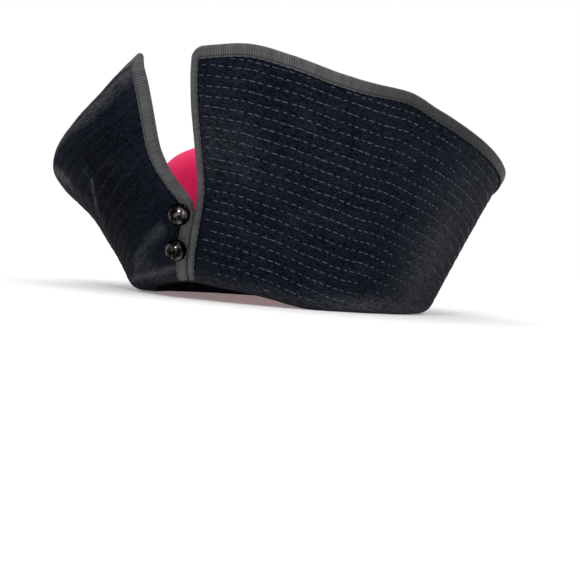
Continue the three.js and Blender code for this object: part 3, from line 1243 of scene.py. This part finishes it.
    def mark_rows(
        self, piece: bpy.types.Object, below: np.ndarray, along_rows: np.ndarray, climb: np.ndarray
    ) -> None:
        """Marks how strongly each vertex is pulled in by the sewn rows.

        Args:
            piece: the piece.
            below: distance below the finished top edge.
            along_rows: the same, with the rows' drift.
            climb: distance up the brim's face.
        """
        phase = (along_rows - self.first_row) / self.pitch
        pull = 0.5 + 0.5 * np.cos(2 * np.pi * phase)
        pull = pull * np.clip((below - SHAPE.binding_width) / 2, 0, 1) * np.clip(climb / 8, 0, 1)
        group = piece.vertex_groups.new(name="sewn")
        for step in range(1, self.pull_steps + 1):
            chosen = np.flatnonzero(np.round(pull * self.pull_steps).astype(int) == step)
            group.add(chosen.tolist(), step / self.pull_steps, "REPLACE")

    def rows(self) -> list[float]:
        """The sewn rows.

        Returns:
            How far each lies below the top edge.
        """
        longest = SHAPE.wall_length(np.linspace(0, 360, 361)).max()
        count = int((longest - self.first_row) / self.pitch) + 1
        return [self.top_row] + [self.first_row + self.pitch * k for k in range(count)]

    def row_climb(self, turn: np.ndarray, below: np.ndarray) -> np.ndarray:
        """Returns the climb at each turn of the row that lies so far below the top edge."""
        return SHAPE.wall_length(turn) - below + self.drift(turn, below)

    def stitch_places(self, face: Face) -> tuple[np.ndarray, np.ndarray]:
        """Places of every stitch on one face.

        Args:
            face: which face of the cloth.

        Returns:
            Two arrays, each stitch's turn and how far its row lies below the top edge.
        """
        rng = np.random.default_rng(SEED if face is Face.OUTER else SEED + 1)
        turns, rows = [], []
        fine = np.linspace(0, 360, 2881)
        length = SHAPE.wall_length(fine)
        for below in self.rows():
            climb = self.row_climb(fine, np.full_like(fine, below))
            by_right = SHAPE.binding_right + self.clear_of_right
            by_left = SHAPE.binding_width + self.clear_of_left
            clear = fine > SHAPE.turn_from_split(Side.RIGHT, by_right, climb)
            clear &= fine < SHAPE.turn_from_split(Side.LEFT, by_left, climb)
            clear &= climb < length - SHAPE.binding_width - self.clear_of_top
            clear &= climb > self.clear_of_hem
            line = SHAPE.skin(fine, np.maximum(climb, 0))
            run = run_along(line)
            spots = np.arange(rng.uniform(0, self.stitch_period), run[-1], self.stitch_period)
            turn = np.interp(spots + rng.normal(0, self.spread_along, len(spots)), run, fine)
            keep = np.interp(turn, fine, clear) > 0.99
            turns.append(turn[keep])
            rows.append(below + rng.normal(0, self.spread_across, keep.sum()))
        return np.concatenate(turns), np.concatenate(rows)

    def one_stitch(self) -> tuple[np.ndarray, list[tuple[int, ...]]]:
        """Models one stitch by hand: a short thread whose ends dive into the cloth.

        Returns:
            Its vertices in millimetres, x along the row and z out of the cloth, and its faces.
        """
        pick_nothing()
        sizes = {"radius": self.stitch_thick / 2, "depth": self.stitch_length}
        bpy.ops.mesh.primitive_cylinder_add(vertices=6, **sizes, rotation=(0, math.pi / 2, 0))
        piece = bpy.context.object
        bpy.ops.object.transform_apply(location=True, rotation=True, scale=True)
        for cut in (-0.3 * self.stitch_length, 0.3 * self.stitch_length):
            edit(piece, lambda: bpy.ops.mesh.bisect(plane_co=(cut, 0, 0), plane_no=(1, 0, 0)))
        places = corners(piece)
        end = np.abs(places[:, 0]) / (self.stitch_length / 2)
        taper = np.where(end > 0.8, 0.55, 1.0)
        places[:, 1] *= taper
        places[:, 2] = places[:, 2] * taper - 0.35 * end**3
        faces = [tuple(polygon.vertices) for polygon in piece.data.polygons]
        bpy.data.objects.remove(piece)
        return places, faces

    def stitches(self, face: Face) -> bpy.types.Object:
        """Lays copies of one stitch along the rows.

        Args:
            face: which face of the cloth.

        Returns:
            All the stitches on that face, as one piece.
        """
        turn, below = self.stitch_places(face)
        climb = self.row_climb(turn, below)
        depth = -0.05 if face is Face.OUTER else SHAPE.cloth + 0.05
        out = outward(SHAPE.skin, turn, climb) * (1 if face is Face.OUTER else -1)
        step = 0.3
        ahead = SHAPE.inside(turn + step, self.row_climb(turn + step, below), np.array(depth))
        middle = SHAPE.inside(turn, climb, np.array(depth))
        along = ahead - middle
        along = along / np.linalg.norm(along, axis=-1, keepdims=True)
        sideways = np.cross(out, along)
        shape, faces = self.one_stitch()
        rng = np.random.default_rng(SEED + 2)
        stretch = rng.uniform(*self.stitch_stretch, (len(turn), 1, 1))
        far = self.sunk_far * np.interp(turn, self.sunk_turns, (0, 1, 1, 0))
        sunk = np.where(turn > 180, self.sunk_left, far)[:, None, None]
        raise_by = rng.uniform(*self.stitch_raise, (len(turn), 1, 1)) - sunk
        points = (
            middle[:, None]
            + along[:, None] * shape[None, :, :1] * stretch
            + sideways[:, None] * shape[None, :, 1:2]
            + out[:, None] * (shape[None, :, 2:] + raise_by - self.puff * 0.55)
        )
        count = len(shape)
        every = [tuple(i + k * count for i in f) for k in range(len(turn)) for f in faces]
        mesh = bpy.data.meshes.new("row_stitches_" + face.value)
        mesh.from_pydata(HAT.place(points.reshape(-1, 3)).tolist(), [], every)
        piece = bpy.data.objects.new(mesh.name, mesh)
        bpy.context.scene.collection.objects.link(piece)
        smooth(piece, 60)
        return piece

    def dress(self) -> None:
        """Builds the brim and its stitches and finishes them."""
        give(self.build(), VelvetFinish().material(), "brim_velvet", "brim")
        thread = ThreadFinish().material()
        for face in Face:
            give(self.stitches(face), thread, "brim_velvet")


@dataclass(frozen=True)
class RibbonBinding:
    """The grosgrain ribbon folded over the brim's edge, mitred at both top corners."""

    step: float = 0.9
    top_run: float = 870
    pinch: float = 0.38
    pinch_reach: float = 8
    notch: float = 0.35
    notch_period: float = 4.05
    foot: float = 0.5
    mitre: float = 0.8
    fold: float = 2
    fold_tall: float = 1.5
    tuck: float = 0.15
    fan: tuple[float, float] = (15, 75)
    thickness: float = 0.9
    ripple: float = 0.25

    def section(self) -> np.ndarray:
        """The folded ribbon's outer line.

        Returns:
            For each place the depth behind the brim's face and the distance in from the edge.
        """
        wide, trim, cloth = SHAPE.binding_width, SHAPE.trim, SHAPE.cloth
        flat = (wide - 0.6, wide * 0.66, wide * 0.33, 1.7)
        front = [(-trim + self.tuck, wide)] + [(-trim, into) for into in flat]
        fold = []
        for degrees in range(0, 181, 20):
            angle = math.radians(degrees)
            half = cloth / 2 + trim
            into = self.fold_tall * (1 - math.sin(angle))
            fold.append((cloth / 2 - half * math.cos(angle), into))
        back = [(cloth - depth, into) for depth, into in reversed(front)]
        return np.array(front + fold + back)

    def split_line(self, side: Side) -> list[Line]:
        """Places up one side of the split and round its top corner.

        Args:
            side: which side.

        Returns:
            For each place a function from the distance in from the edge to turn and climb.
        """
        right = side is Side.RIGHT
        corner = SHAPE.right_corner if right else SHAPE.left_corner
        wide = SHAPE.binding_right if right else SHAPE.binding_width
        inner = SHAPE.binding_width + self.mitre
        narrow = (wide - self.fold) / (SHAPE.binding_width - self.fold)

        def across(into: np.ndarray) -> np.ndarray:
            """Returns the distance in, with the flat part narrowed."""
            return np.minimum(into, self.fold) + np.maximum(into - self.fold, 0) * narrow

        def place(inside: np.ndarray, below: np.ndarray) -> tuple[np.ndarray, np.ndarray]:
            """A place in the panel.

            Args:
                inside: distance in from the split's edge.
                below: distance below the finished top edge.

            Returns:
                Its turn and climb.
            """
            line = lambda climb: SHAPE.turn_from_split(side, inside, climb)
            climb = SHAPE.line_length(line, inside) - below
            return line(climb), climb

        def straight(below: float) -> Line:
            """Returns a place on the straight side."""
            return lambda into: place(across(into), np.full_like(into, below))

        def round_corner(degrees: float) -> Line:
            """A place round the top corner.

            Args:
                degrees: how far round it is, from 0 at the side to 90 at the top.

            Returns:
                A function like the others.
            """
            c, s = math.cos(math.radians(degrees)), math.sin(math.radians(degrees))
            fan = math.radians(np.interp(degrees, (0, 90), self.fan))

            def at(into: np.ndarray) -> tuple[np.ndarray, np.ndarray]:
                """The mitred fold.

                Args:
                    into: distance in from the finished edge.

                Returns:
                    Its turn and climb.
                """
                share = np.clip((into - self.fold) / (SHAPE.binding_width - self.fold), 0, 1)
                near = np.minimum(into, self.fold)
                edge = corner - (corner - near) * c, corner - (corner - near) * s
                end = wide + self.mitre * (1 - math.cos(fan)), inner - self.mitre * math.sin(fan)
                return place(*(e + (i - e) * share for e, i in zip(edge, end)))

            return at

        edge_turn = lambda climb: SHAPE.turn_from_split(side, 0.0, climb)
        tall = float(SHAPE.line_length(edge_turn, np.zeros(1))[0])
        climbs = np.arange(self.foot, tall - inner - 1, self.step)
        side_line = [straight(tall - c) for c in climbs] + [straight(inner)]
        return side_line + [round_corner(d) for d in range(0, 91, 15)]

    def top_line(self) -> list[Line]:
        """Places along the top edge.

        Returns:
            A function for each place, from the right corner to the left one.
        """
        inner = SHAPE.binding_width + self.mitre
        ends = []
        for side in Side:
            line = lambda climb, side=side: SHAPE.turn_from_split(side, inner, climb)
            ends.append((line, SHAPE.line_length(line, np.zeros(1))))
        top = [float(line(length)[0]) for line, length in ends]
        count = int(self.top_run / self.step)

        def at_share(share: float) -> Line:
            """A place along the top edge.

            Args:
                share: how far it is from the right corner to the left one.

            Returns:
                A function like the others.
            """

            def at(into: np.ndarray) -> tuple[np.ndarray, np.ndarray]:
                """The line that runs in from the edge.

                Args:
                    into: distance in from the finished edge.

                Returns:
                    Its turn and climb.
                """
                right, left = ends[0][0], ends[1][0]
                turn_at = lambda climb: right(climb) + (left(climb) - right(climb)) * share
                climb = SHAPE.line_length(turn_at, into) - into
                return turn_at(climb), climb

            return at

        LOG.info("top binding runs from turn %.1f to %.1f", *top)
        return [at_share(k / count) for k in range(count + 1)]

    def build(self) -> bpy.types.Object:
        """Builds the ribbon as one folded strip.

        Returns:
            The ribbon.
        """
        section = self.section()
        stations = self.split_line(Side.RIGHT) + self.top_line() + self.split_line(Side.LEFT)[::-1]
        piece, u, v = cloth_sheet("grosgrain_binding", len(stations) - 1, len(section) - 1)
        rings, turns = [], []
        for at in stations:
            turn, climb = at(section[:, 1])
            rings.append(SHAPE.inside(turn, climb, section[:, 0]))
            turns.append(turn[len(turn) // 2])
        rings = self.notched(self.pinched(np.stack(rings)))
        i = np.round(u * (len(stations) - 1)).astype(int)
        j = np.round(v * (len(section) - 1)).astype(int)
        move_corners(piece, HAT.place(rings[i, j]))
        run, wrap = run_along(rings[:, len(section) // 2]), run_along(section)
        write_uv(piece, "ribbon", np.stack([run[i], wrap[j]], -1) * MM)
        # Painted shade along the ribbon at each station's turn.
        painted_dim = curve(RIBBON_PAINTED_SHADE, "turn", "painted_dim")(np.array(turns))[i]
        write_uv(piece, "tone", np.stack([painted_dim, 0 * painted_dim], -1))
        thicken(piece, self.thickness, even=False)
        face_outwards(piece)
        ruffle(piece, soft_noise("ribbon_ripple", 0.009), self.ripple)
        smooth(piece)
        return piece

    def pinched(self, rings: np.ndarray) -> np.ndarray:
        """Presses the ribbon flatter round the left panel's pointed corner.

        Args:
            rings: its sections, in order.

        Returns:
            The pressed sections.
        """
        edge = rings[:, rings.shape[1] // 2]
        apex = edge[len(edge) // 2 :][np.argmax(edge[len(edge) // 2 :, 2])]
        near = np.exp(-((np.linalg.norm(edge - apex, axis=-1) / self.pinch_reach) ** 2))
        middle = (rings + rings[:, ::-1]) / 2
        return rings + (middle - rings) * (self.pinch * near)[:, None, None]

    def notched(self, rings: np.ndarray) -> np.ndarray:
        """Draws both long edges in a little at each of the ribbon's stitches.

        Args:
            rings: its sections, in order.

        Returns:
            The notched sections.
        """
        run = run_along(rings[:, 0])
        pull = self.notch * np.abs(np.cos(np.pi * run / self.notch_period)) ** 3
        for edge, inner in ((0, 2), (-1, -3)):
            across = rings[:, inner] - rings[:, edge]
            across = across / np.linalg.norm(across, axis=-1, keepdims=True)
            rings[:, edge] += across * pull[:, None]
        return rings

    def dress(self) -> None:
        """Builds the ribbon and finishes it."""
        give(self.build(), GrosgrainFinish().material(), "binding_grosgrain", "edge_binding")


@dataclass(frozen=True)
class FeltCrown:
    """The crown: one blocked felt shell, open below."""

    side: float = 78
    front: float = 98
    felt: float = 2.5
    seat: float = 3.4
    lift_fades: float = 60
    uneven: float = 1.2
    head_ribbon: float = 24
    ribbon_clear: float = 0.8
    ribbon_thick: float = 0.8

    def foot_lift(self, turn: np.ndarray, height: np.ndarray) -> np.ndarray:
        """Returns how far the felt is lifted with the hem, at a turn in radians and a height."""
        fades = np.clip(1 - height / self.lift_fades, 0, 1)
        return SHAPE.section("lift", np.degrees(turn) % 360) * fades

    def build(self) -> bpy.types.Object:
        """Shapes the crown from half a ball.

        Returns:
            The crown.
        """
        pick_nothing()
        bpy.ops.mesh.primitive_uv_sphere_add(segments=128, ring_count=96, radius=1)
        piece = bpy.context.object
        piece.name = piece.data.name = "felt_crown"
        level = {"plane_co": (0, 0, 0), "plane_no": (0, 0, 1)}
        edit(piece, lambda: bpy.ops.mesh.bisect(**level, clear_inner=True, threshold=1e-4))
        ball = corners(piece)
        up = np.arcsin(np.clip(ball[:, 2], 0, 1)) / (math.pi / 2)
        fine = np.linspace(0, CROWN_ROWS[-1].height, 800)
        share = curve(CROWN_ROWS, "height", "share")(fine)
        run = run_along(np.stack([fine, share * self.side], -1))
        height = np.interp(up * run[-1], run, fine)
        wide = np.interp(height, fine, share)
        turn = np.arctan2(ball[:, 0], -ball[:, 1])
        lift = self.foot_lift(turn, height)
        x, y = self.side * wide * np.sin(turn), -self.front * wide * np.cos(turn)
        move_corners(piece, HAT.place(np.stack([x, y, self.seat + lift + height], -1)))
        thicken(piece, self.felt)
        ruffle(piece, soft_noise("felt_blocking", 0.045), self.uneven)
        face_outwards(piece)
        smooth(piece)
        return piece

    def ribbon(self) -> bpy.types.Object:
        """Builds the head ribbon that is sewn round the inside of the crown's foot, near black as
        painted shade under the brim.

        Returns:
            The ribbon.
        """
        piece, u, v = cloth_sheet("head_ribbon", 180, 6)
        turn = 2 * np.pi * u
        inward = self.felt + self.ribbon_clear
        height = v * self.head_ribbon
        share = curve(CROWN_ROWS, "height", "share")(height)
        lift = self.foot_lift(turn, height)
        x = (self.side * share - inward) * np.sin(turn)
        y = -(self.front * share - inward) * np.cos(turn)
        move_corners(piece, HAT.place(np.stack([x, y, self.seat + lift + height], -1)))
        around = turn * (self.side + self.front) / 2
        write_uv(piece, "ribbon", np.stack([around, height], -1) * MM)
        write_uv(piece, "tone", np.zeros((len(turn), 2)))
        merge(piece)
        thicken(piece, self.ribbon_thick)
        face_outwards(piece)
        smooth(piece)
        return piece

    def dress(self) -> None:
        """Builds the crown and its head ribbon and finishes them."""
        give(self.build(), FeltFinish().material(), "crown_felt", "crown")
        # Near-black colours for the head ribbon: painted shade inside the crown's foot.
        dark = GrosgrainFinish("head_grosgrain_painted_shade", srgb(5, 5, 6), srgb(30, 30, 32))
        give(self.ribbon(), dark.material(), "binding_grosgrain")


@dataclass(frozen=True)
class BallButton:
    """One polished ball button on its short neck, sewn to the left panel's binding."""

    node: str
    climb: float
    inside: float = 3.5
    ball: float = 13
    neck: float = 4.4
    neck_tall: float = 1
    rounding: float = 0.3

    def build(self) -> bpy.types.Object:
        """Builds the button, its neck drawn out of a ball.

        Returns:
            The button.
        """
        pick_nothing()
        bpy.ops.mesh.primitive_uv_sphere_add(segments=48, ring_count=32, radius=self.ball / 2 * MM)
        piece = bpy.context.object
        piece.name = piece.data.name = self.node + "_ball"
        radius = self.ball / 2
        start = math.asin(self.neck / 2 / radius)
        low = radius * math.cos(start)

        def draw_neck() -> None:
            """Cuts the ball flat at the neck and draws the cut out."""
            cut = {"plane_co": (0, 0, -low * MM), "plane_no": (0, 0, 1)}
            bpy.ops.mesh.bisect(**cut, clear_inner=True, use_fill=True, threshold=1e-6)
            down = (0, 0, -self.neck_tall * MM)
            bpy.ops.mesh.extrude_region_move(TRANSFORM_OT_translate={"value": down})

        edit(piece, draw_neck)
        turn = SHAPE.turn_from_split(Side.LEFT, np.array(self.inside), np.array(self.climb))
        climb = np.array(self.climb, float)
        away = Vector(outward(SHAPE.skin, turn, climb))
        foot = Vector(HAT.place(SHAPE.inside(turn, climb, np.array(-SHAPE.trim - SHAPE.gap))))
        turned = Vector((0, 0, 1)).rotation_difference(away).to_matrix().to_4x4()
        rise = Vector((0, 0, (low + self.neck_tall) * MM))
        piece.data.transform(Matrix.Translation(foot) @ turned @ Matrix.Translation(rise))
        sharp = {"limit_method": "ANGLE", "angle_limit": math.radians(40)}
        finish_with(piece, "BEVEL", width=self.rounding * MM, segments=2, **sharp)
        face_outwards(piece)
        smooth(piece)
        return piece

    def dress(self, gloss: bpy.types.Material) -> None:
        """Builds the button and finishes it."""
        give(self.build(), gloss, "button_gloss", self.node)


@dataclass(frozen=True)
class Studio:
    """A pale floor, soft light and the camera at the photograph's angle."""

    azimuth: float = 31
    distance: float = 1.3
    height: float = 0.045
    roll: float = 5
    picture: int = 580
    pixels_per_metre: float = 1600
    base_pixel: tuple[float, float] = (281, 302)

    def camera(self) -> None:
        """Sets the camera so that the middle of the hem falls on its pixel in the photograph."""
        data = bpy.data.cameras.new("photo_camera")
        piece = bpy.data.objects.new("photo_camera", data)
        bpy.context.scene.collection.objects.link(piece)
        bpy.context.scene.camera = piece
        focal = self.pixels_per_metre * self.distance
        data.sensor_width = 36
        data.lens = focal / self.picture * data.sensor_width
        data.clip_end = 50
        angle = math.radians(self.azimuth)
        target = Vector((*HAT.middle, 0))
        towards = Vector((math.sin(angle), -math.cos(angle), 0))
        piece.location = target + towards * self.distance + Vector((0, 0, self.height))
        right = Vector((math.cos(angle), math.sin(angle), 0))
        up = Vector((0, 0, 1))
        roll = math.radians(self.roll)
        picture_right = right * math.cos(roll) + up * math.sin(roll)
        picture_up = up * math.cos(roll) - right * math.sin(roll)
        level = Matrix((picture_right, picture_up, towards)).transposed()
        down = self.height * focal / self.distance
        middle = self.picture / 2
        x = self.base_pixel[0] - middle
        y = middle - self.base_pixel[1]
        seen = Vector((down * math.sin(-roll), -down * math.cos(roll)))
        sideways = Matrix.Rotation(math.atan2(x - seen.x, focal), 3, "Y")
        swing = sideways @ Matrix.Rotation(math.atan2(seen.y - y, focal), 3, "X")
        piece.rotation_euler = (level @ swing).to_euler()

    def floor(self) -> None:
        """Lays the floor."""
        pick_nothing()
        bpy.ops.mesh.primitive_plane_add(size=30, location=(0, 0, 0))
        piece = bpy.context.object
        piece.name = "studio_floor"
        edit(piece, lambda: bpy.ops.mesh.subdivide(number_cuts=4))
        piece.data.materials.append(FloorFinish().material())

    def light(self, name: str, place: tuple[float, ...], size: float, watts: float) -> None:
        """Hangs one soft square light that faces the hat.

        Args:
            name: the light's name.
            place: where it hangs.
            size: its side in metres.
            watts: its power.
        """
        data = bpy.data.lights.new(name, "AREA")
        data.size = size
        data.energy = watts
        piece = bpy.data.objects.new(name, data)
        bpy.context.scene.collection.objects.link(piece)
        piece.location = place
        aim = Vector((0, 0, 0.07)) - Vector(place)
        piece.rotation_euler = aim.to_track_quat("-Z", "Y").to_euler()

    def world(self) -> None:
        """Fills the studio with even white light."""
        world = bpy.data.worlds.new("studio_white")
        bpy.context.scene.world = world
        world.use_nodes = True
        back = world.node_tree.nodes["Background"]
        back.inputs["Color"].default_value = (1, 1, 1, 1)
        back.inputs["Strength"].default_value = 1.0

    def build(self) -> None:
        """Sets up the studio."""
        self.camera()
        self.floor()
        self.world()
        self.light("key_light", (0.75, -1.5, 1.1), 0.4, 13)
        self.light("side_light", (1.6, -0.3, 0.7), 0.5, 3)
        view = bpy.context.scene.view_settings
        view.view_transform = "Standard"


def main() -> None:
    """Builds the studio and the hat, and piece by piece."""
    logging.basicConfig(level=logging.INFO, format="%(message)s")
    Studio().build()
    FeltCrown().dress()
    QuiltedBrim().dress()
    RibbonBinding().dress()
    gloss = GlossFinish().material()
    for node, climb in (("button_upper", 44.0), ("button_lower", 22.0)):
        BallButton(node, climb).dress(gloss)


if __name__ == "__main__":
    main()
